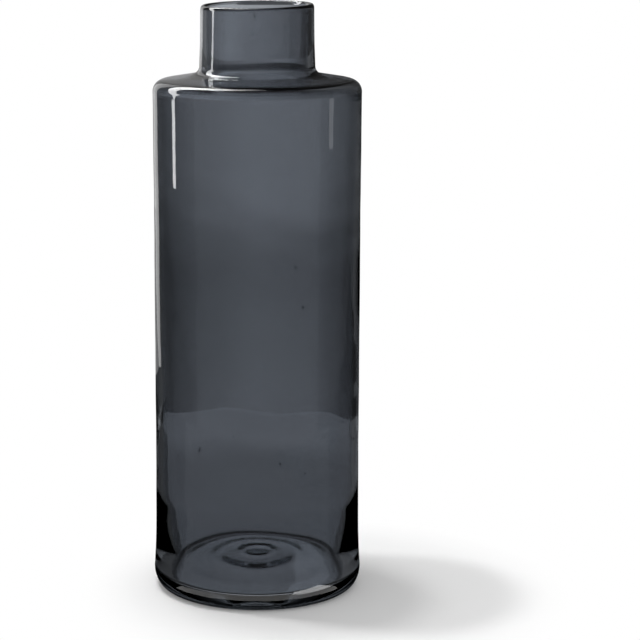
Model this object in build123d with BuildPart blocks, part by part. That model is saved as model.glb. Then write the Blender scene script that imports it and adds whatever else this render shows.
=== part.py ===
# Bottle vase in smoked glass, blown in one piece: base, straight body, flat shoulder and wide neck.
# Millimetres, +Z up, origin on the surface that the vase stands on, at the middle of its foot.
from build123d import *
from math import asin, cos, degrees, pi, sin
import os

os.makedirs("parts", exist_ok=True)

# Outer form
total_height = 420.0
body_radius = 73.5
neck_radius = 39.7
neck_height = 48.8
shoulder_fall = 5.5
shoulder_rounding = 8.4
neck_foot_rounding = 6.1
neck_foot_inner_rounding = 3.0

# The body draws in a little at its waist, and the neck opens a little towards its foot
waist_draw = 0.3
waist_height = 200.0
neck_foot_flare = 1.1
neck_flare_draw = 0.8
neck_flare_height = 20.0
neck_flare_rounding = 60.0

# Heel, foot ring and the punt that is pushed up under the base
heel_flare = 1.5
heel_height = 13.5
heel_run = 8.4
heel_flare_height = 50.0
foot_ring_width = 5.0
punt_depth = 7.5

# Thickness of the glass: thinnest under the shoulder, and heavier the lower it goes
neck_wall = 3.8
shoulder_wall = 2.6
waist_wall = 4.4
lower_wall = 5.4
lower_wall_height = 112.0
low_wall = 6.2
heel_wall = 10.0
base_thickness = 10.0

# Floor of the cavity: a tight corner, a dome over the punt, and the rings of the cooling glass
floor_rounding = 2.5
floor_rise = 10.0
ripple_depth = 0.8
ripple_count = 3
points_per_ripple = 6

# The lip is melted round: half an ellipse over the neck's wall
lip_height = 3.0

# Radii and heights that follow from the sizes above
waist_radius = body_radius - waist_draw
heel_radius = body_radius + heel_flare
neck_foot_radius = neck_radius + neck_foot_flare
neck_flare_radius = neck_foot_radius - neck_flare_draw
foot_ring_outer = heel_radius - heel_run
foot_ring_inner = foot_ring_outer - foot_ring_width
bore_radius = neck_radius - neck_wall
lip_radius = neck_radius - neck_wall / 2
lip_foot = total_height - lip_height
neck_foot_height = total_height - neck_height
shoulder_height = neck_foot_height - shoulder_fall
neck_flare_end = neck_foot_height + neck_flare_height
straight_top = shoulder_height - 2 * shoulder_rounding

# The inner face of the shoulder runs one wall under the outer one
cavity_radius = body_radius - shoulder_wall
cavity_top = shoulder_height - shoulder_wall
cavity_neck_foot = neck_foot_height - shoulder_wall
cavity_rounding = shoulder_rounding - shoulder_wall / 2
cavity_straight_top = cavity_top - 2 * shoulder_rounding

# The floor meets the wall in a rounded corner
floor_edge_height = base_thickness + floor_rounding
floor_wall_radius = heel_radius - heel_wall
floor_radius = floor_wall_radius - floor_rounding


def floor_height_at(radius):
    """Height of the cavity's floor: the dome over the punt, less the ripples that circle it."""
    dome = floor_rise * (1 + cos(pi * (radius / floor_radius) ** 2)) / 2
    ripple = ripple_depth * sin(pi * ripple_count * radius / floor_radius) ** 2
    return base_thickness + dome - ripple


floor_steps = ripple_count * points_per_ripple
floor_points = [
    (floor_radius * step / floor_steps, floor_height_at(floor_radius * step / floor_steps))
    for step in range(floor_steps, -1, -1)
]

# Sphere of the punt, from its height and the circle where it meets the foot ring
punt_radius = (foot_ring_inner**2 + punt_depth**2) / (2 * punt_depth)
punt_angle = degrees(asin(foot_ring_inner / punt_radius))

# Half section of the glass, turned about the axis
with BuildPart() as glass_vessel:
    with BuildSketch(Plane.XZ) as half_section:
        with BuildLine() as outline:
            # Underside: the punt, the flat foot ring and the rounded heel
            punt = JernArc((0, punt_depth), (1, 0), punt_radius, -punt_angle)
            foot_ring = Line(punt @ 1, (foot_ring_outer, 0))
            heel_centre = (foot_ring_outer, heel_height)
            heel = EllipticalCenterArc(heel_centre, heel_run, heel_height, start_angle=-90, arc_size=90)
            # Outer wall of the body, a long shallow waist that flares out to the heel
            waist = ThreePointArc(
                (body_radius, heel_flare_height), (waist_radius, waist_height), (body_radius, straight_top)
            )
            flare = Spline(heel @ 1, waist @ 0, tangents=[(0, 1), waist % 0])
            # Shoulder and neck on the outside, over the lip, and back down the inside
            shoulder_and_neck = FilletPolyline(
                (body_radius, straight_top),
                (body_radius, shoulder_height),
                (neck_foot_radius, neck_foot_height),
                (neck_flare_radius, neck_flare_end),
                (neck_radius, lip_foot),
                radius=[shoulder_rounding, neck_foot_rounding, neck_flare_rounding],
            )
            lip = EllipticalCenterArc((lip_radius, lip_foot), neck_wall / 2, lip_height, arc_size=180)
            bore_and_ceiling = FilletPolyline(
                (bore_radius, lip_foot),
                (bore_radius, cavity_neck_foot),
                (cavity_radius, cavity_top),
                (cavity_radius, cavity_straight_top),
                radius=[neck_foot_inner_rounding, cavity_rounding],
            )
            # Inner wall, which leaves more glass the lower it goes
            inner_wall = Spline(
                (cavity_radius, cavity_straight_top),
                (waist_radius - waist_wall, waist_height),
                (body_radius - lower_wall, lower_wall_height),
                (body_radius - low_wall, heel_flare_height),
                (floor_wall_radius, floor_edge_height),
                tangents=[(0, -1), (0, -1)],
            )
            # Floor of the cavity, from its rounded corner to the axis
            floor_corner = JernArc((floor_wall_radius, floor_edge_height), (0, -1), floor_rounding, -90)
            floor = Spline(*floor_points, tangents=[(-1, 0), (-1, 0)])
            axis_line = Line(floor @ 1, punt @ 0)
        make_face()
    revolve(axis=Axis.Z)

glass_vessel.part.label = "glass_vessel"
export_step(glass_vessel.part, "parts/glass_vessel.step")
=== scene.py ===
"""Bottle vase in smoked blown glass, standing on a white table in a small photo studio.

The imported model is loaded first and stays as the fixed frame. The vessel that shows is turned here
again, from a finer half section, with the slow unevenness, the tilted lip and the seeds of
hand-blown glass. Lengths are in metres, +Z is up, and the camera stands on the -Y side.
"""

import logging
from dataclasses import dataclass
from enum import Enum
from math import atan2, cos, hypot, pi, radians, sin, sqrt, tan
from random import Random

import bpy
from mathutils import Euler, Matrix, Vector


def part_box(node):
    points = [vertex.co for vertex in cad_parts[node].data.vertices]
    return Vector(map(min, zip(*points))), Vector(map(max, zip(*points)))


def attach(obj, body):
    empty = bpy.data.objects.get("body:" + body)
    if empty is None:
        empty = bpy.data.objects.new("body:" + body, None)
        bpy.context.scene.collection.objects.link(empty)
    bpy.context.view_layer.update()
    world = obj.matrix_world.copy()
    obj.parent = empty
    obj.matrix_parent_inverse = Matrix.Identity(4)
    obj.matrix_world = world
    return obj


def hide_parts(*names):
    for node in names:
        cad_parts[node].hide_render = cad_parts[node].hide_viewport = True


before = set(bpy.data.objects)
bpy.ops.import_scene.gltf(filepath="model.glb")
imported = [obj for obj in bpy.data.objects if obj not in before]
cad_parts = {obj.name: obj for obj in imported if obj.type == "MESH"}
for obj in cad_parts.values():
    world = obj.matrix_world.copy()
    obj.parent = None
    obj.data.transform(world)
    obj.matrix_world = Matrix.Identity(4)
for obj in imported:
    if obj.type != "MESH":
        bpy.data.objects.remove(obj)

log = logging.getLogger("bottle_vase")

Point = tuple[float, float]
Outline = tuple[Point, ...]
Face = tuple[int, ...]
Colour = tuple[float, float, float, float]
Tree = bpy.types.NodeTree
Node = bpy.types.Node
Socket = bpy.types.NodeSocket

MM = 0.001
VESSEL_NODE = "glass_vessel"
WHITE: Colour = (1.0, 1.0, 1.0, 1.0)


class Seen(Enum):
    """How a studio card shows: mirrored in the skin of the glass, or seen through the glass."""

    MIRRORED = "Is Reflection Ray"
    THROUGH = "Is Transmission Ray"


class Wall(Enum):
    """The two sides of the glass, which cooled with unevenness of their own."""

    OUTSIDE = 1
    INSIDE = 2


def node(tree: Tree, kind: str, **values: object) -> Node:
    """Adds a shader node and sets its sockets by name.

    Args:
        tree: The node tree that takes the node.
        kind: The node's type, such as "ShaderNodeTexNoise".
        values: Socket names with underscores for spaces, and their values.

    Returns:
        The new node.
    """
    made = tree.nodes.new(kind)
    for name, value in values.items():
        made.inputs[name.replace("_", " ")].default_value = value
    return made


def new_material(name: str) -> bpy.types.Material:
    """Returns an empty material that is ready for nodes."""
    material = bpy.data.materials.new(name)
    material.use_nodes = True
    material.node_tree.nodes.clear()
    return material


def white_light(tree: Tree, strength: float = 1.0) -> Node:
    """Adds an even white glow and returns its node."""
    return node(tree, "ShaderNodeEmission", Color=WHITE, Strength=strength)


def white_sky(tree: Tree, strength: float = 1.0) -> Node:
    """Adds an even white background and returns its node."""
    return node(tree, "ShaderNodeBackground", Color=WHITE, Strength=strength)


def mix_shaders(tree: Tree, share: Socket, base: Node, over: Node) -> Node:
    """Adds a mix of two shaders.

    Args:
        tree: The node tree that takes the mix.
        share: How much of the second shader shows.
        base: The first shader.
        over: The second shader.

    Returns:
        The mix's node.
    """
    mixed = tree.nodes.new("ShaderNodeMixShader")
    tree.links.new(share, mixed.inputs["Fac"])
    tree.links.new(base.outputs[0], mixed.inputs[1])
    tree.links.new(over.outputs[0], mixed.inputs[2])
    return mixed


@dataclass(frozen=True)
class SmokedGlass:
    """Smoke grey glass with a blue cast, fire-polished, with faint cords and orange peel."""

    refraction: float = 1.5
    roughness: float = 0.0
    skin: Colour = (0.352, 0.374, 0.407, 1.0)
    smoke: Colour = (0.46, 0.50, 0.54, 1.0)
    density: float = 10.0
    cord_scale: float = 26.0
    cord_distortion: float = 0.6
    cord_stretch: tuple[float, float, float] = (1.0, 1.0, 0.35)
    cord_height: float = 0.00008
    peel_scale: float = 240.0
    peel_height: float = 0.000006
    noise_detail: float = 2.0
    bump_strength: float = 1.0

    def material(self) -> bpy.types.Material:
        """Returns the glass, clear at its surface and tinted through its thickness."""
        made = new_material("smoked_glass")
        tree = made.node_tree
        glass = node(
            tree,
            "ShaderNodeBsdfPrincipled",
            Base_Color=self.skin,
            Roughness=self.roughness,
            IOR=self.refraction,
            Transmission_Weight=1.0,
        )
        tint = node(tree, "ShaderNodeVolumeAbsorption", Color=self.smoke, Density=self.density)
        place = tree.nodes.new("ShaderNodeTexCoord")
        stretch = node(tree, "ShaderNodeMapping", Scale=self.cord_stretch)
        cords = node(
            tree,
            "ShaderNodeTexNoise",
            Scale=self.cord_scale,
            Detail=self.noise_detail,
            Distortion=self.cord_distortion,
        )
        peel = node(tree, "ShaderNodeTexNoise", Scale=self.peel_scale, Detail=self.noise_detail)
        bump = self.bump_strength
        long_bump = node(tree, "ShaderNodeBump", Strength=bump, Distance=self.cord_height)
        fine_bump = node(tree, "ShaderNodeBump", Strength=bump, Distance=self.peel_height)
        out = tree.nodes.new("ShaderNodeOutputMaterial")
        link = tree.links.new
        link(place.outputs["Object"], stretch.inputs["Vector"])
        link(stretch.outputs["Vector"], cords.inputs["Vector"])
        link(place.outputs["Object"], peel.inputs["Vector"])
        link(cords.outputs["Fac"], long_bump.inputs["Height"])
        link(peel.outputs["Fac"], fine_bump.inputs["Height"])
        link(long_bump.outputs["Normal"], fine_bump.inputs["Normal"])
        link(fine_bump.outputs["Normal"], glass.inputs["Normal"])
        link(glass.outputs["BSDF"], out.inputs["Surface"])
        link(tint.outputs["Volume"], out.inputs["Volume"])
        return made


@dataclass(frozen=True)
class Corner:
    """A corner of the half section, with the radius that rounds it off."""

    radius: float
    height: float
    rounding: float = 0.0


@dataclass(frozen=True)
class SectionPen:
    """Draws one side of the half section as close points, with arcs at its rounded corners."""

    arc_step: float = radians(6.0)
    longest_run: float = 4.0 * MM

    def run(self, start: Point, end: Point) -> list[Point]:
        """Returns the points of a straight run, without its start."""
        steps = max(1, round(hypot(end[0] - start[0], end[1] - start[1]) / self.longest_run))
        return [
            (
                start[0] + (end[0] - start[0]) * step / steps,
                start[1] + (end[1] - start[1]) * step / steps,
            )
            for step in range(1, steps + 1)
        ]

    def arc(self, before: Point, corner: Corner, after: Point) -> list[Point]:
        """Draws the arc that rounds a corner.

        Args:
            before: Where the run that ends at the corner starts.
            corner: The corner and its rounding.
            after: Where the run that starts at the corner ends.

        Returns:
            The arc's points, with both ends.
        """
        here = Vector((corner.radius, corner.height))
        back = (Vector(before) - here).normalized()
        onward = (Vector(after) - here).normalized()
        half_angle = back.angle(onward) / 2
        reach = corner.rounding / tan(half_angle)
        middle = here + (back + onward).normalized() * (corner.rounding / sin(half_angle))
        first = here + back * reach - middle
        last = here + onward * reach - middle
        start_angle = atan2(first.y, first.x)
        turn = (atan2(last.y, last.x) - start_angle + pi) % (2 * pi) - pi
        steps = max(2, round(abs(turn) / self.arc_step))
        angles = [start_angle + turn * step / steps for step in range(steps + 1)]
        return [
            (middle.x + corner.rounding * cos(angle), middle.y + corner.rounding * sin(angle))
            for angle in angles
        ]

    def trace(self, corners: list[Corner]) -> list[Point]:
        """Draws runs and rounded corners in order.

        Args:
            corners: The corners, of which the first and last are the ends and aren't rounded.

        Returns:
            The points of the whole side, from the first corner to the last.
        """
        points = [(corners[0].radius, corners[0].height)]
        for index in range(1, len(corners)):
            corner = corners[index]
            if corner.rounding and index < len(corners) - 1:
                before = (corners[index - 1].radius, corners[index - 1].height)
                after = (corners[index + 1].radius, corners[index + 1].height)
                bend = self.arc(before, corner, after)
                points += self.run(points[-1], bend[0])
                points += bend[1:]
            else:
                points += self.run(points[-1], (corner.radius, corner.height))
        return points


def smooth_share(value: float, start: float, end: float) -> float:
    """Returns 0 before start, 1 after end, and a smooth share between them."""
    share = min(1.0, max(0.0, (value - start) / (end - start)))
    return share * share * (3 - 2 * share)


@dataclass(frozen=True)
class Unevenness:
    """Slow waves of the wall, left by the blowpipe and the paddle."""

    depth: float = 0.10 * MM
    tallest_wave: float = 0.17
    waves: int = 7
    laps: tuple[int, ...] = (1, 2, 3, 4, 5)
    seed: int = 11

    def at(self, wall: Wall, angle: float, height: float) -> float:
        """Adds up the waves at one place of the wall.

        Args:
            wall: The side of the glass.
            angle: Place around the axis.
            height: Place along the axis.

        Returns:
            How far the wall stands out there.
        """
        chance = Random(self.seed * wall.value)
        total = 0.0
        for wave in range(1, self.waves + 1):
            around = chance.choice(self.laps)
            length = self.tallest_wave / wave
            turn = chance.uniform(0, 2 * pi)
            rise = chance.uniform(0, 2 * pi)
            total += cos(around * angle + turn) * cos(2 * pi * height / length + rise) / wave
        return self.depth * total


@dataclass(frozen=True)
class Seeds:
    """Tiny bubbles that the glass caught when it was gathered, stretched upright in the wall.

    One in every neck_every sits in the neck, down from the lip by a share of the neck's height that
    lies within neck_span. The others stay below the shoulder by so many of its roundings. The
    higher the rarity, the fewer are large.
    """

    count: int = 90
    neck_every: int = 9
    neck_span: Point = (0.2, 0.7)
    roundings_below_shoulder: int = 5
    smallest: float = 0.42 * MM
    largest: float = 0.75 * MM
    rarity: int = 2
    stretch: float = 1.5
    rows: int = 6
    columns: int = 8
    seed: int = 23

    def shell(self, centre: Vector, size: float, first: int) -> tuple[list[Vector], list[Face]]:
        """Makes the skin of one bubble, which faces the air that it holds.

        Args:
            centre: The bubble's middle.
            size: Half its width.
            first: The number of its first point in the vessel's mesh.

        Returns:
            Its points and its faces.
        """
        tall = size * self.stretch
        points = [centre + Vector((0.0, 0.0, -tall))]
        for row in range(1, self.rows):
            rise = pi * row / self.rows - pi / 2
            level = cos(rise) * size
            for column in range(self.columns):
                turn = 2 * pi * column / self.columns
                reach = Vector((level * cos(turn), level * sin(turn), tall * sin(rise)))
                points.append(centre + reach)
        points.append(centre + Vector((0.0, 0.0, tall)))
        top = first + len(points) - 1
        faces = []
        for column in range(self.columns):
            beside = (column + 1) % self.columns
            faces.append((first, first + 1 + column, first + 1 + beside))
            last_row = first + 1 + (self.rows - 2) * self.columns
            faces.append((top, last_row + beside, last_row + column))
            for row in range(self.rows - 2):
                low = first + 1 + row * self.columns
                high = low + self.columns
                faces.append((low + column, high + column, high + beside, low + beside))
        return points, faces


@dataclass
class BlownVessel:
    """The whole vase, blown in one piece: base with its punt, body, shoulder, neck and lip.

    The fields that end in steps say how many points each part of the half section has, and
    edge_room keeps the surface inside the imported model's box.
    """

    total_height: float
    heel_radius: float
    body_radius: float = 73.4 * MM
    waist_draw: float = 0.25 * MM
    neck_radius: float = 39.7 * MM
    neck_foot_radius: float = 40.8 * MM
    neck_foot_height: float = 371.2 * MM
    neck_foot_rounding: float = 6.1 * MM
    shoulder_height: float = 365.7 * MM
    shoulder_rounding: float = 8.4 * MM
    heel_height: float = 13.5 * MM
    heel_run: float = 8.4 * MM
    heel_flare_height: float = 55.0 * MM
    foot_ring_width: float = 5.0 * MM
    punt_depth: float = 7.5 * MM
    neck_wall: float = 3.8 * MM
    neck_foot_inner_rounding: float = 8.0 * MM
    shoulder_wall: float = 2.6 * MM
    waist_wall: float = 4.4 * MM
    waist_share: float = 0.45
    low_wall: float = 5.0 * MM
    heel_wall_height: float = 71.0 * MM
    heel_wall_foot: float = 27.0 * MM
    heel_wall_onset: float = 0.08
    floor_wall_radius: float = 63.8 * MM
    base_thickness: float = 10.0 * MM
    floor_rounding: float = 3.2 * MM
    floor_rise: float = 10.0 * MM
    dome_power: float = 1.5
    ripple_depth: float = 0.8 * MM
    ripple_count: int = 3
    ripple_power: int = 4
    lip_height: float = 3.0 * MM
    lip_tilt: float = 1.9 * MM
    lip_tilt_bearing: float = radians(50.0)
    neck_flare_draw: float = 0.8 * MM
    neck_flare_height: float = 20.0 * MM
    neck_flare_rounding: float = 60.0 * MM
    punt_steps: int = 24
    heel_steps: int = 20
    wall_steps: int = 90
    lip_steps: int = 24
    floor_corner_steps: int = 14
    floor_steps: int = 60
    segments: int = 176
    edge_room: float = 0.05 * MM

    def pen(self) -> SectionPen:
        """Returns the pen that draws every side of this vessel."""
        return SectionPen()

    def outer_radius(self, height: float) -> float:
        """Returns the body's outer radius at a height over the heel, without its unevenness."""
        waist_middle = (self.heel_flare_height + self.shoulder_height) / 2
        half = self.shoulder_height - waist_middle
        waist = self.waist_draw * max(0.0, 1 - ((height - waist_middle) / half) ** 2)
        flare_height = self.heel_flare_height - self.heel_height
        below = max(0.0, 1 - (height - self.heel_height) / flare_height)
        flare = (self.heel_radius - self.edge_room - self.body_radius) * below * below
        return self.body_radius - waist + flare

    def wall_thickness(self, height: float) -> float:
        """Returns the body wall's thickness at a height: thin at the shoulder, heavier below."""
        waist = self.total_height * self.waist_share
        below_shoulder = 1 - smooth_share(height, waist, self.shoulder_height)
        below_waist = 1 - smooth_share(height, self.heel_wall_height, waist)
        upper = self.shoulder_wall + (self.waist_wall - self.shoulder_wall) * below_shoulder
        return upper + (self.low_wall - self.waist_wall) * below_waist

    def heel_share(self, height: float) -> float:
        """Returns how far the wall has grown to its thickness at the floor, in an even wedge."""
        share = (self.heel_wall_height - height) / (self.heel_wall_height - self.heel_wall_foot)
        share = min(1.0, max(0.0, share))
        onset = self.heel_wall_onset
        grown = share * share / (2 * onset) if share < onset else share - onset / 2
        return grown / (1 - onset / 2)

    def underside(self) -> list[Point]:
        """Returns the punt, the flat foot ring and the rounded heel, from the axis outward."""
        ring_outer = self.heel_radius - self.heel_run
        ring_inner = ring_outer - self.foot_ring_width
        dome = (ring_inner**2 + self.punt_depth**2) / (2 * self.punt_depth)
        points = []
        for step in range(self.punt_steps + 1):
            radius = ring_inner * step / self.punt_steps
            points.append((radius, sqrt(dome**2 - radius**2) - dome + self.punt_depth))
        points += self.pen().run(points[-1], (ring_outer, 0.0))
        for step in range(1, self.heel_steps + 1):
            angle = pi / 2 * step / self.heel_steps
            radius = ring_outer + (self.heel_run - self.edge_room) * sin(angle)
            points.append((radius, self.heel_height * (1 - cos(angle))))
        return points

    def outside(self) -> list[Point]:
        """Returns the outer side from the heel up, with the whole lip."""
        top = self.total_height - self.edge_room
        points = []
        wall_top = self.shoulder_height - 2 * self.shoulder_rounding
        for step in range(1, self.wall_steps + 1):
            height = self.heel_height + (wall_top - self.heel_height) * step / self.wall_steps
            points.append((self.outer_radius(height), height))
        neck = [
            Corner(*points[-1]),
            Corner(self.body_radius, self.shoulder_height, self.shoulder_rounding),
            Corner(self.neck_foot_radius, self.neck_foot_height, self.neck_foot_rounding),
            Corner(
                self.neck_foot_radius - self.neck_flare_draw,
                self.neck_foot_height + self.neck_flare_height,
                self.neck_flare_rounding,
            ),
            Corner(self.neck_radius, top - self.lip_height),
        ]
        return points + self.pen().trace(neck)[1:] + self.lip(top)

    def lip(self, top: float) -> list[Point]:
        """Returns the melted lip, half an ellipse over the neck's wall, from its outer side in."""
        half = self.neck_wall / 2
        points = []
        for step in range(1, self.lip_steps + 1):
            angle = pi * step / self.lip_steps
            radius = self.neck_radius - half + half * cos(angle)
            points.append((radius, top - self.lip_height * (1 - sin(angle))))
        return points

    def inside(self) -> list[Point]:
        """Returns the inner side from under the lip down to the floor's rounded corner."""
        lip_foot = self.total_height - self.edge_room - self.lip_height
        bore = self.neck_radius - self.neck_wall
        cavity = self.body_radius - self.shoulder_wall
        cavity_top = self.shoulder_height - self.shoulder_wall
        wall_top = self.shoulder_height - 2 * self.shoulder_rounding
        corners = [
            Corner(bore, lip_foot),
            Corner(bore, self.neck_foot_height - self.shoulder_wall, self.neck_foot_inner_rounding),
            Corner(cavity, cavity_top, self.shoulder_rounding - self.shoulder_wall),
            Corner(cavity, wall_top),
        ]
        points = self.pen().trace(corners)[1:]
        corner_top = self.base_thickness + self.floor_rounding
        for step in range(1, self.wall_steps + 1):
            height = wall_top + (corner_top - wall_top) * step / self.wall_steps
            inner = self.outer_radius(height) - self.wall_thickness(height)
            wedge = (self.floor_wall_radius - inner) * self.heel_share(height)
            points.append((inner + wedge, height))
        for step in range(1, self.floor_corner_steps + 1):
            angle = pi / 2 * step / self.floor_corner_steps
            radius = self.floor_wall_radius - self.floor_rounding * (1 - cos(angle))
            points.append((radius, corner_top - self.floor_rounding * sin(angle)))
        return points

    def floor(self) -> list[Point]:
        """Returns the cavity's floor from its corner in: a low dome with ripple rings."""
        edge = self.floor_wall_radius - self.floor_rounding
        points = []
        for step in range(1, self.floor_steps + 1):
            radius = edge * (1 - step / self.floor_steps)
            share = radius / edge
            dome = self.floor_rise * (1 - share**self.dome_power)
            ring = sin(pi * self.ripple_count * share) ** self.ripple_power
            ripple = self.ripple_depth * (1 - share * share) * ring
            points.append((radius, self.base_thickness + dome - ripple))
        return points

    def section(self) -> list[tuple[Point, Wall]]:
        """Returns the closed half section from the punt's middle round to the floor's middle."""
        outside = [(point, Wall.OUTSIDE) for point in self.underside() + self.outside()]
        inside = [(point, Wall.INSIDE) for point in self.inside() + self.floor()]
        return outside + inside

    def place(self, point: Point, wall: Wall, angle: float, waves: Unevenness) -> Vector:
        """Turns a point of the half section about the axis, and adds the unevenness and the tilt.

        Args:
            point: Radius and height in the half section.
            wall: The side of the glass that it is on.
            angle: Place around the axis.
            waves: The unevenness of the wall.

        Returns:
            The point on the blown surface.
        """
        radius, height = point
        calm = smooth_share(height, self.heel_height, self.heel_flare_height)
        calm *= 1 - smooth_share(height, self.neck_foot_height, self.total_height)
        radius += waves.at(wall, angle, height) * calm
        radius = min(radius, self.heel_radius - self.edge_room)
        tilt = smooth_share(height, self.neck_foot_height, self.total_height)
        height -= self.lip_tilt * tilt * (1 - cos(angle - self.lip_tilt_bearing)) / 2
        return Vector((radius * cos(angle), radius * sin(angle), height))

    def seed_places(self, seeds: Seeds) -> list[tuple[Vector, float]]:
        """Draws the places of the bubbles, halfway through the wall of the body and the neck.

        Args:
            seeds: The bubbles.

        Returns:
            The middle and the size of each.
        """
        chance = Random(seeds.seed)
        neck_height = self.total_height - self.neck_foot_height
        body_top = self.shoulder_height - seeds.roundings_below_shoulder * self.shoulder_rounding
        places = []
        for index in range(seeds.count):
            angle = chance.uniform(0, 2 * pi)
            if index % seeds.neck_every == 0:
                height = self.total_height - chance.uniform(*seeds.neck_span) * neck_height
                radius = self.neck_radius - self.neck_wall / 2
            else:
                height = chance.uniform(self.heel_wall_height, body_top)
                radius = self.outer_radius(height) - self.wall_thickness(height) / 2
            growth = chance.random() ** seeds.rarity
            size = seeds.smallest + (seeds.largest - seeds.smallest) * growth
            places.append((Vector((radius * cos(angle), radius * sin(angle), height)), size))
        return places

    def mesh(self) -> bpy.types.Mesh:
        """Turns the half section about the axis into one closed mesh, with its bubbles."""
        section = self.section()
        waves = Unevenness()
        verts = [Vector((0.0, 0.0, section[0][0][1]))]
        rings = section[1:-1]
        for point, wall in rings:
            for segment in range(self.segments):
                verts.append(self.place(point, wall, 2 * pi * segment / self.segments, waves))
        verts.append(Vector((0.0, 0.0, section[-1][0][1])))
        last = len(verts) - 1
        faces = []
        for segment in range(self.segments):
            beside = (segment + 1) % self.segments
            faces.append((0, 1 + beside, 1 + segment))
            top = 1 + (len(rings) - 1) * self.segments
            faces.append((last, top + segment, top + beside))
            for ring in range(len(rings) - 1):
                low = 1 + ring * self.segments
                high = low + self.segments
                faces.append((low + segment, low + beside, high + beside, high + segment))
        seeds = Seeds()
        for centre, size in self.seed_places(seeds):
            points, skin = seeds.shell(centre, size, len(verts))
            verts += points
            faces += skin
        mesh = bpy.data.meshes.new("glass_vessel_blown")
        mesh.from_pydata(verts, [], faces)
        mesh.validate()
        mesh.shade_smooth()
        mesh.update()
        return mesh

    def build(self, glass: SmokedGlass) -> bpy.types.Object:
        """Makes the vessel, dresses it and lets it stand for its CAD node.

        Args:
            glass: The finish of the whole vessel.

        Returns:
            The vessel's object.
        """
        vessel = bpy.data.objects.new("blown_vessel", self.mesh())
        bpy.context.scene.collection.objects.link(vessel)
        vessel.data.materials.append(glass.material())
        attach(vessel, "root")
        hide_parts(VESSEL_NODE)
        return vessel


def stage_card(mesh: bpy.types.Mesh, strength: float, seen: Seen) -> bpy.types.Object:
    """Makes a stage piece from a mesh, lit evenly or black, that only the glass shows.

    Args:
        mesh: The card's mesh, whose name the piece takes.
        strength: How brightly it glows, 0 for black.
        seen: How it shows in the glass.

    Returns:
        The stage piece.
    """
    card = bpy.data.objects.new(mesh.name, mesh)
    bpy.context.scene.collection.objects.link(card)
    made = new_material(mesh.name)
    tree = made.node_tree
    clear = tree.nodes.new("ShaderNodeBsdfTransparent")
    path = tree.nodes.new("ShaderNodeLightPath")
    out = tree.nodes.new("ShaderNodeOutputMaterial")
    shown = mix_shaders(tree, path.outputs[seen.value], clear, white_light(tree, strength))
    tree.links.new(shown.outputs["Shader"], out.inputs["Surface"])
    mesh.materials.append(made)
    card.visible_camera = False
    card.visible_diffuse = False
    card.visible_shadow = False
    return card


def band_faces(steps: int) -> list[Face]:
    """Returns the faces of an upright band whose points run low, high, low, high along it."""
    return [(2 * step, 2 * step + 2, 2 * step + 3, 2 * step + 1) for step in range(steps)]


@dataclass(frozen=True)
class Card:
    """An upright studio card or strip light that stands on a circle around the vase.

    Its bearing is degrees from straight behind the vase, positive towards +X, and its width degrees
    too. Its foot may be narrower than its top, by the share that foot gives.
    """

    name: str
    bearing: float
    width: float
    bottom: float
    top: float
    distance: float
    strength: float
    seen: Seen
    foot: float = 1.0
    steps: int = 12

    def build(self) -> list[bpy.types.Object]:
        """Makes the card as a stage piece."""
        middle = radians(self.bearing)
        half = radians(self.width) / 2
        verts = []
        for step in range(self.steps + 1):
            for height, share in ((self.bottom, self.foot), (self.top, 1.0)):
                angle = middle + half * share * (2 * step / self.steps - 1)
                verts.append((self.distance * sin(angle), self.distance * cos(angle), height))
        mesh = bpy.data.meshes.new(self.name)
        mesh.from_pydata(verts, [], band_faces(self.steps))
        return [stage_card(mesh, self.strength, self.seen)]


@dataclass(frozen=True)
class ArchStep:
    """One height of the arch light: degrees up, bearing, degrees wide, and the glow above it."""

    rise: float
    bearing: float
    width: float
    strength: float

    def towards(self, other: "ArchStep", share: float) -> "ArchStep":
        """Makes a step between this one and another.

        Args:
            other: The next step up.
            share: How far towards it, from 0 to 1.

        Returns:
            The step there, with this one's glow.
        """
        return ArchStep(
            self.rise + (other.rise - self.rise) * share,
            self.bearing + (other.bearing - self.bearing) * share,
            self.width + (other.width - self.width) * share,
            self.strength,
        )


@dataclass(frozen=True)
class ArchLight:
    """A soft light that rises beside the vase and bends over behind it, as the glass mirrors it."""

    name: str
    distance: float
    steps_up: tuple[ArchStep, ...]
    seen: Seen = Seen.MIRRORED
    rows: int = 4
    columns: int = 6

    def build(self) -> list[bpy.types.Object]:
        """Makes the light as a row of stage pieces, each with its own glow."""
        spans = zip(self.steps_up, self.steps_up[1:])
        return [self.panel(f"{self.name}_{place}", *span) for place, span in enumerate(spans, 1)]

    def panel(self, name: str, low: ArchStep, high: ArchStep) -> bpy.types.Object:
        """Makes one panel of the light.

        Args:
            name: The panel's name.
            low: Its lower edge, which also says how it glows.
            high: Its upper edge.

        Returns:
            The stage piece.
        """
        verts = []
        for row in range(self.rows + 1):
            here = low.towards(high, row / self.rows)
            rise = radians(here.rise)
            side = radians(here.bearing)
            half = radians(here.width) / 2
            outward = Vector((sin(side), cos(side), 0.0))
            across = Vector((cos(side), -sin(side), 0.0))
            spine = outward * cos(rise) + Vector((0.0, 0.0, sin(rise)))
            for column in range(self.columns + 1):
                turn = half * (2 * column / self.columns - 1)
                verts.append((spine * cos(turn) + across * sin(turn)) * self.distance)
        beside = self.columns + 1
        faces = []
        for row in range(self.rows):
            for column in range(self.columns):
                first = row * beside + column
                faces.append((first, first + 1, first + beside + 1, first + beside))
        mesh = bpy.data.meshes.new(name)
        mesh.from_pydata(verts, [], faces)
        return stage_card(mesh, low.strength, self.seen)


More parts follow.
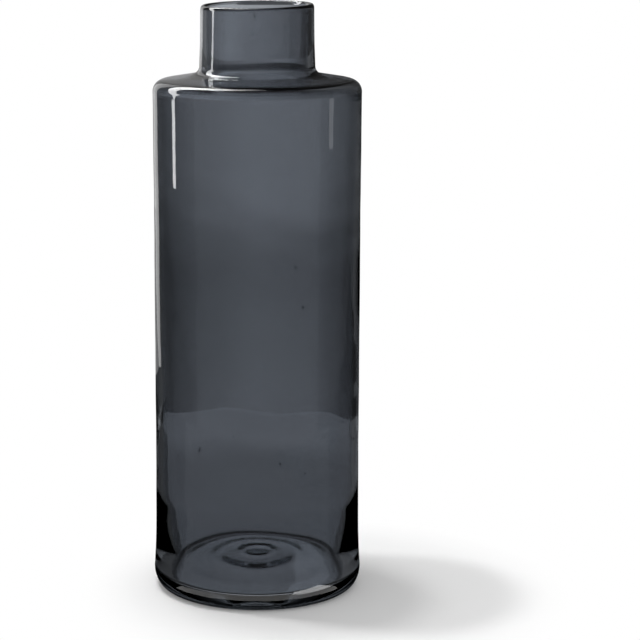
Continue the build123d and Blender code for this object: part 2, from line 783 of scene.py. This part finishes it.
@dataclass(frozen=True)
class TableMat:
    """A flat mat on the table, or a flat card held above it, that only the glass shows.

    A card may fall away towards the back, by so much for each metre, so that the lens sees it
    edge-on.
    """

    name: str
    outline: Outline
    strength: float
    seen: Seen
    lift: float = 0.3 * MM
    fall: float = 0.0

    def build(self) -> list[bpy.types.Object]:
        """Makes the mat as a stage piece."""
        mesh = bpy.data.meshes.new(self.name)
        verts = [(x, y, self.lift - self.fall * y) for x, y in self.outline]
        mesh.from_pydata(verts, [], [tuple(range(len(verts)))])
        return [stage_card(mesh, self.strength, self.seen)]


def ramp(tree: Tree, source: Socket, span: Point, levels: Point) -> Socket:
    """Adds a smooth ramp of one value over another.

    Args:
        tree: The node tree that takes the ramp.
        source: The value that drives it.
        span: Where it starts and ends.
        levels: Its values before the start and after the end.

    Returns:
        The ramp's output.
    """
    made = tree.nodes.new("ShaderNodeMapRange")
    made.interpolation_type = "SMOOTHSTEP"
    made.inputs["From Min"].default_value = span[0]
    made.inputs["From Max"].default_value = span[1]
    made.inputs["To Min"].default_value = levels[0]
    made.inputs["To Max"].default_value = levels[1]
    tree.links.new(source, made.inputs["Value"])
    return made.outputs["Result"]


def profile(tree: Tree, source: Socket, stops: Outline) -> Socket:
    """Adds a curve of one value over another, through several stops.

    Args:
        tree: The node tree that takes the curve.
        source: The value that drives it.
        stops: Pairs of a value of the source and the level there, from low to high.

    Returns:
        The curve's output.
    """
    start, end = stops[0][0], stops[-1][0]
    share = tree.nodes.new("ShaderNodeMapRange")
    share.inputs["From Min"].default_value = start
    share.inputs["From Max"].default_value = end
    tree.links.new(source, share.inputs["Value"])
    curve = tree.nodes.new("ShaderNodeValToRGB")
    curve.color_ramp.interpolation = "EASE"
    elements = curve.color_ramp.elements
    while len(elements) < len(stops):
        elements.new(1.0)
    for element, (place, level) in zip(elements, stops):
        element.position = (place - start) / (end - start)
        element.color = (level, level, level, 1.0)
    tree.links.new(share.outputs["Result"], curve.inputs["Fac"])
    return curve.outputs["Color"]


@dataclass(frozen=True)
class ShadeScrim:
    """A grey scrim that bends round the back of the vase and dims what its glass shows through it:
    painted shade that darkens the glass towards its sides.

    Its stops are pairs: degrees from straight behind the vase, positive towards +X, and the share
    of the light that is let through there.
    """

    name: str
    bottom: float
    top: float
    stops: Outline
    distance: float = 0.5
    steps: int = 48

    def build(self) -> list[bpy.types.Object]:
        """Makes the scrim as a stage piece that only light through the glass meets."""
        start, end = self.stops[0][0], self.stops[-1][0]
        verts = []
        for step in range(self.steps + 1):
            angle = radians(start + (end - start) * step / self.steps)
            for height in (self.bottom, self.top):
                verts.append((self.distance * sin(angle), self.distance * cos(angle), height))
        mesh = bpy.data.meshes.new(self.name)
        mesh.from_pydata(verts, [], band_faces(self.steps))
        mesh.materials.append(self.material())
        scrim = bpy.data.objects.new(self.name, mesh)
        bpy.context.scene.collection.objects.link(scrim)
        scrim.visible_camera = False
        scrim.visible_diffuse = False
        scrim.visible_shadow = False
        return [scrim]

    def material(self) -> bpy.types.Material:
        """Returns the scrim's cloth, clear for all but light through the glass."""
        made = new_material(self.name)
        tree = made.node_tree
        link = tree.links.new
        place = tree.nodes.new("ShaderNodeTexCoord")
        split = tree.nodes.new("ShaderNodeSeparateXYZ")
        turn = tree.nodes.new("ShaderNodeMath")
        turn.operation = "ARCTAN2"
        bearing = tree.nodes.new("ShaderNodeMath")
        bearing.operation = "DEGREES"
        link(place.outputs["Object"], split.inputs["Vector"])
        link(split.outputs["X"], turn.inputs[0])
        link(split.outputs["Y"], turn.inputs[1])
        link(turn.outputs["Value"], bearing.inputs[0])
        clear = tree.nodes.new("ShaderNodeBsdfTransparent")
        cloth = tree.nodes.new("ShaderNodeBsdfTransparent")
        link(profile(tree, bearing.outputs["Value"], self.stops), cloth.inputs["Color"])
        path = tree.nodes.new("ShaderNodeLightPath")
        out = tree.nodes.new("ShaderNodeOutputMaterial")
        shown = mix_shaders(tree, path.outputs["Is Transmission Ray"], clear, cloth)
        link(shown.outputs["Shader"], out.inputs["Surface"])
        return made


@dataclass(frozen=True)
class WhiteTable:
    """The white table top, which keeps the vase's shadow and fades to plain white away from it.

    Seen through the glass it glows in rings of painted light and shade: the near and the far levels
    are pairs of a distance from the axis and the level there, and the higher of the two counts. The
    near levels paint a dark ring of shadow round the foot, and the table is painted dimmer close to
    the vase than far from it. The glass mirrors it black, and the mats that lie on it are what shows
    in the skin.
    """

    reach: float = 5.0
    fade: Point = (0.115, 0.18)
    fade_middle: tuple[float, float, float] = (0.05, -0.02, 0.0)
    white: float = 0.8
    glow: float = 0.1
    near_light_and_shade: Outline = (
        (0.0, 0.7), (0.056, 0.68), (0.064, 0.06), (0.0775, 0.06), (0.0815, 0.35), (0.09, 0.42),
        (0.12, 0.46), (0.145, 0.48), (0.15, 0.0),
    )
    far_light_and_shade: Outline = (
        (0.12, 0.0), (0.14, 0.5), (0.25, 0.46), (0.33, 0.46), (0.42, 0.66), (0.495, 0.62),
        (0.505, 0.77), (0.85, 0.7), (1.2, 0.62), (1.8, 1.0), (2.2, 1.0),
    )
    mirror_level: float = 0.0

    def build(self) -> bpy.types.Object:
        """Makes the table top as a stage piece."""
        sides = ((-1, -1), (1, -1), (1, 1), (-1, 1))
        mesh = bpy.data.meshes.new("table_top")
        verts = [(x * self.reach, y * self.reach, 0.0) for x, y in sides]
        mesh.from_pydata(verts, [], [(0, 1, 2, 3)])
        table = bpy.data.objects.new("table_top", mesh)
        bpy.context.scene.collection.objects.link(table)
        mesh.materials.append(self.material())
        return table

    def material(self) -> bpy.types.Material:
        """Returns matt white with its shadow for the camera, and plain glows for the glass."""
        made = new_material("table_white")
        tree = made.node_tree
        link = tree.links.new
        path = tree.nodes.new("ShaderNodeLightPath")
        place = tree.nodes.new("ShaderNodeTexCoord")
        length = tree.nodes.new("ShaderNodeVectorMath")
        length.operation = "LENGTH"
        link(place.outputs["Object"], length.inputs[0])
        away = length.outputs["Value"]
        matt = node(tree, "ShaderNodeBsdfDiffuse", Color=(self.white, self.white, self.white, 1.0))
        lifted = tree.nodes.new("ShaderNodeAddShader")
        link(matt.outputs["BSDF"], lifted.inputs[0])
        link(white_light(tree, self.glow).outputs["Emission"], lifted.inputs[1])
        beside = tree.nodes.new("ShaderNodeVectorMath")
        beside.operation = "DISTANCE"
        beside.inputs[1].default_value = self.fade_middle
        link(place.outputs["Object"], beside.inputs[0])
        faded_away = ramp(tree, beside.outputs["Value"], self.fade, (0.0, 1.0))
        faded = mix_shaders(tree, faded_away, lifted, white_light(tree))
        mirrored = white_light(tree, self.mirror_level)
        # Seen through the glass, the table glows with painted light and shade in rings round the
        # axis, with a dark ring of painted shadow round the foot.
        through = white_light(tree)
        under = tree.nodes.new("ShaderNodeMath")
        under.operation = "MAXIMUM"
        link(profile(tree, away, self.near_light_and_shade), under.inputs[0])
        link(profile(tree, away, self.far_light_and_shade), under.inputs[1])
        link(under.outputs["Value"], through.inputs["Strength"])
        glossy = mix_shaders(tree, path.outputs["Is Glossy Ray"], matt, mirrored)
        glazed = mix_shaders(tree, path.outputs["Is Transmission Ray"], glossy, through)
        shown = mix_shaders(tree, path.outputs["Is Camera Ray"], glazed, faded)
        out = tree.nodes.new("ShaderNodeOutputMaterial")
        link(shown.outputs["Shader"], out.inputs["Surface"])
        return made


@dataclass(frozen=True)
class WhiteRoom:
    """The world: plain white behind the vase, a dark ceiling, and soft daylight on the table.

    Seen through the glass, the white turns to the ceiling between backdrop_top and ceiling_start,
    which are sines of the angle up.
    """

    background: float = 1.0
    daylight: float = 0.68
    mirror_level: float = 0.04
    ceiling_level: float = 0.05
    backdrop_top: float = sin(radians(9.0))
    ceiling_start: float = sin(radians(20.0))

    def build(self) -> None:
        """Sets the world's shader."""
        world = bpy.data.worlds.new("white_room")
        bpy.context.scene.world = world
        world.use_nodes = True
        tree = world.node_tree
        tree.nodes.clear()
        link = tree.links.new
        through = white_sky(tree)
        path = tree.nodes.new("ShaderNodeLightPath")
        direction = tree.nodes.new("ShaderNodeTexCoord")
        split = tree.nodes.new("ShaderNodeSeparateXYZ")
        out = tree.nodes.new("ShaderNodeOutputWorld")
        link(direction.outputs["Generated"], split.inputs["Vector"])
        span = (self.backdrop_top, self.ceiling_start)
        levels = (self.background, self.ceiling_level)
        link(ramp(tree, split.outputs["Z"], span, levels), through.inputs["Strength"])
        soft = white_sky(tree, self.daylight)
        dim = white_sky(tree, self.mirror_level)
        white = white_sky(tree, self.background)
        mirrored = mix_shaders(tree, path.outputs["Is Glossy Ray"], soft, dim)
        glazed = mix_shaders(tree, path.outputs["Is Transmission Ray"], mirrored, through)
        seen = mix_shaders(tree, path.outputs["Is Camera Ray"], glazed, white)
        link(seen.outputs["Shader"], out.inputs["Surface"])


@dataclass(frozen=True)
class StudioLamp:
    """A soft lamp, high on the left, that throws a pale shadow of the vase to the right.

    Elevation and bearing are degrees, and the bearing counts from straight behind the vase,
    positive towards +X.
    """

    name: str
    elevation: float
    bearing: float
    size: float
    power: float
    distance: float = 2.2

    def build(self) -> bpy.types.Object:
        """Makes the lamp and turns it to the table."""
        lamp = bpy.data.lights.new(self.name, "AREA")
        lamp.shape = "DISK"
        lamp.size = self.size
        lamp.energy = self.power
        made = bpy.data.objects.new(self.name, lamp)
        bpy.context.scene.collection.objects.link(made)
        rise = radians(self.elevation)
        side = radians(self.bearing)
        aim = Vector((cos(rise) * sin(side), cos(rise) * cos(side), sin(rise)))
        made.location = aim * self.distance
        made.rotation_euler = aim.to_track_quat("Z", "Y").to_euler()
        made.visible_glossy = False
        made.visible_transmission = False
        return made


@dataclass(frozen=True)
class StudioCamera:
    """A long lens a little above the mouth, tilted down, with the vase left of the middle.

    The lens and sensor are millimetres and the tilt is degrees.
    """

    lens: float = 123.0
    sensor: float = 36.0
    distance: float = 1.5359
    height: float = 0.5033
    tilt: float = 11.36
    shift: float = 0.098
    nearest: float = 0.05
    furthest: float = 50.0

    def build(self) -> bpy.types.Object:
        """Makes the camera and gives it to the scene."""
        data = bpy.data.cameras.new("studio_camera")
        data.lens = self.lens
        data.sensor_width = self.sensor
        data.shift_x = self.shift
        data.clip_start = self.nearest
        data.clip_end = self.furthest
        camera = bpy.data.objects.new("studio_camera", data)
        bpy.context.scene.collection.objects.link(camera)
        camera.location = (0.0, -self.distance, self.height)
        camera.rotation_euler = Euler((radians(90.0 - self.tilt), 0.0, 0.0))
        bpy.context.scene.camera = camera
        return camera


LEFT_MAT: Outline = ((-0.077, -0.03), (-0.50, -0.03), (-0.55, 0.40), (-0.165, 0.40), (-0.077, 0.04))
RIGHT_MAT: Outline = ((0.077, -0.03), (0.60, -0.03), (0.90, 0.75), (0.36, 0.75), (0.077, 0.04))
# A glowing band on the table round the front of the foot, no lamp: the heel mirrors it as a painted
# reflection of pale table.
HEEL_REFLECTION_SKIRT: Outline = (
    (-0.073, -0.042), (-0.054, -0.064), (-0.029, -0.079), (0.0, -0.084), (0.029, -0.079),
    (0.054, -0.064), (0.073, -0.042), (0.088, -0.050), (0.071, -0.081), (0.039, -0.104),
    (0.0, -0.112), (-0.039, -0.104), (-0.071, -0.081), (-0.088, -0.050),
)
LIP_FLAG: Outline = (
    (-0.042, 0.0), (-0.30, 0.0), (-0.26, 0.15), (-0.15, 0.26), (0.0, 0.30), (0.15, 0.26),
    (0.26, 0.15), (0.30, 0.0), (0.042, 0.0), (0.039, 0.016), (0.030, 0.030), (0.016, 0.039),
    (0.0, 0.042), (-0.016, 0.039), (-0.030, 0.030), (-0.039, 0.016),
)
# A glowing mat under the right half of the base, no lamp: a painted pool of light where the lamp's
# light would gather through the glass.
RIGHT_GLOW: Outline = (
    (0.018, -0.046), (0.040, -0.036), (0.052, -0.010), (0.052, 0.012), (0.040, 0.034),
    (0.022, 0.044), (0.028, 0.020), (0.026, -0.020),
)
# A glowing patch on the table in front of the vase, no lamp: the glass mirrors it near its foot as a
# painted highlight.
HEEL_HIGHLIGHT_PATCH: Outline = ((0.040, -0.090), (0.060, -0.110), (0.110, -0.085), (0.095, -0.050))
# Painted shade: shares of light let through by bearing, high behind the glass's middle and low
# towards its sides.
BODY_SHADE_STOPS: Outline = (
    (-110.0, 0.5), (-40.0, 0.2), (-28.0, 0.19), (-18.0, 0.27), (-13.0, 0.42), (-7.0, 0.62),
    (0.0, 0.8), (7.0, 0.72), (13.0, 0.48), (18.0, 0.33), (26.0, 0.2), (40.0, 0.22), (110.0, 0.5),
)
NECK_SHADE_STOPS: Outline = (
    (-110.0, 0.7), (-28.0, 0.35), (-18.0, 0.55), (-12.0, 0.85), (-6.0, 1.0), (0.0, 0.8),
    (3.5, 0.66), (6.0, 0.52), (12.0, 0.48), (15.0, 0.25), (22.0, 0.1), (40.0, 0.05), (110.0, 0.4),
)
PALE_SWEEP: Outline = (
    (-0.468, 0.612), (-0.558, 0.542), (-1.25, 1.56), (-0.68, 1.86), (-0.539, 1.105),
)
DIM_SWEEP: Outline = ((0.05, 0.72), (-0.468, 0.612), (-0.539, 1.105), (-0.68, 1.86), (0.10, 1.95))
ARCH_STEPS = (
    ArchStep(15.0, -79.0, 12.0, 8.0),
    ArchStep(22.0, -74.0, 14.0, 8.0),
    ArchStep(30.0, -66.0, 15.0, 8.5),
    ArchStep(38.0, -57.0, 17.0, 10.0),
    ArchStep(48.0, -47.0, 18.0, 14.0),
    ArchStep(60.0, -43.0, 18.0, 12.0),
    ArchStep(68.0, -42.0, 18.0, 9.0),
    ArchStep(75.0, -36.0, 18.0, 6.5),
    ArchStep(77.5, -28.0, 18.0, 3.0),
    ArchStep(80.0, -18.0, 18.0, 0.0),
)


@dataclass(frozen=True)
class Studio:
    """The table, the pieces round the vase that its glass shows, the lamps, world and camera."""

    cards: tuple[Card | ShadeScrim | ArchLight | TableMat, ...] = (
        Card("white_backdrop", -28.0, 20.0, 0.0, 3.0, 1.9, 1.1, Seen.MIRRORED),
        Card("dim_backdrop", -8.0, 20.0, 0.0, 3.0, 1.9, 0.35, Seen.MIRRORED),
        Card("left_strip", -79.0, 5.0, 0.17, 0.29, 1.0, 8.0, Seen.MIRRORED),
        Card("left_softbox", -80.8, 13.0, 0.29, 0.64, 1.0, 8.0, Seen.MIRRORED, 0.2),
        Card("right_strip", 94.0, 6.0, 0.21, 0.3, 1.0, 1.0, Seen.MIRRORED),
        # Two scrims paint shade into the body and the neck, darker towards their sides.
        ShadeScrim("body_shade_scrim", 0.001, 0.315, BODY_SHADE_STOPS),
        ShadeScrim("neck_shade_scrim", 0.315, 0.6, NECK_SHADE_STOPS),
        ArchLight("arch_light", 2.6, ARCH_STEPS),
        TableMat("lip_flag", LIP_FLAG, 0.18, Seen.THROUGH, 0.4185, 0.0552),
        TableMat("dark_mat_left", LEFT_MAT, 0.12, Seen.THROUGH),
        TableMat("dark_mat_right", RIGHT_MAT, 0.2, Seen.THROUGH),
        TableMat("pale_sweep", PALE_SWEEP, 1.0, Seen.MIRRORED),
        TableMat("dim_sweep", DIM_SWEEP, 0.3, Seen.MIRRORED),
        # Painted pool of light under the base, seen through the glass.
        TableMat("under_glow", RIGHT_GLOW, 1.0, Seen.THROUGH),
        # Painted reflection: a glowing band, no lamp, that the heel mirrors.
        TableMat("heel_reflection_skirt", HEEL_REFLECTION_SKIRT, 1.3, Seen.MIRRORED),
        # Painted highlight: a glowing patch, no lamp, that the foot of the glass mirrors.
        TableMat("heel_highlight_patch", HEEL_HIGHLIGHT_PATCH, 5.0, Seen.MIRRORED, 0.4 * MM),
    )
    lamps: tuple[StudioLamp, ...] = (
        StudioLamp("key_lamp", 75.5, -74.0, 0.16, 12.5),
        StudioLamp("fill_lamp", 83.0, -44.0, 0.2, 9.5),
    )

    def build(self) -> None:
        """Builds every piece of the studio."""
        bpy.context.scene.view_settings.view_transform = "Standard"
        StudioCamera().build()
        WhiteRoom().build()
        WhiteTable().build()
        for lamp in self.lamps:
            lamp.build()
        for card in self.cards:
            for piece in card.build():
                log.info("stage piece %s", piece.name)


def corners(box: tuple[Vector, Vector]) -> list[list[float]]:
    """Returns a box's two corners as plain lists of numbers."""
    return [[float(value) for value in corner] for corner in box]


def main() -> None:
    """Builds the studio and the vase."""
    logging.basicConfig(level=logging.INFO, format="%(name)s: %(message)s")
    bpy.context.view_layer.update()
    low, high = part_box(VESSEL_NODE)
    Studio().build()
    vessel = BlownVessel(total_height=high.z - low.z, heel_radius=(high.x - low.x) / 2)
    made = vessel.build(SmokedGlass())
    log.info("piece %s has %d faces", made.name, len(made.data.polygons))


if __name__ == "__main__":
    main()
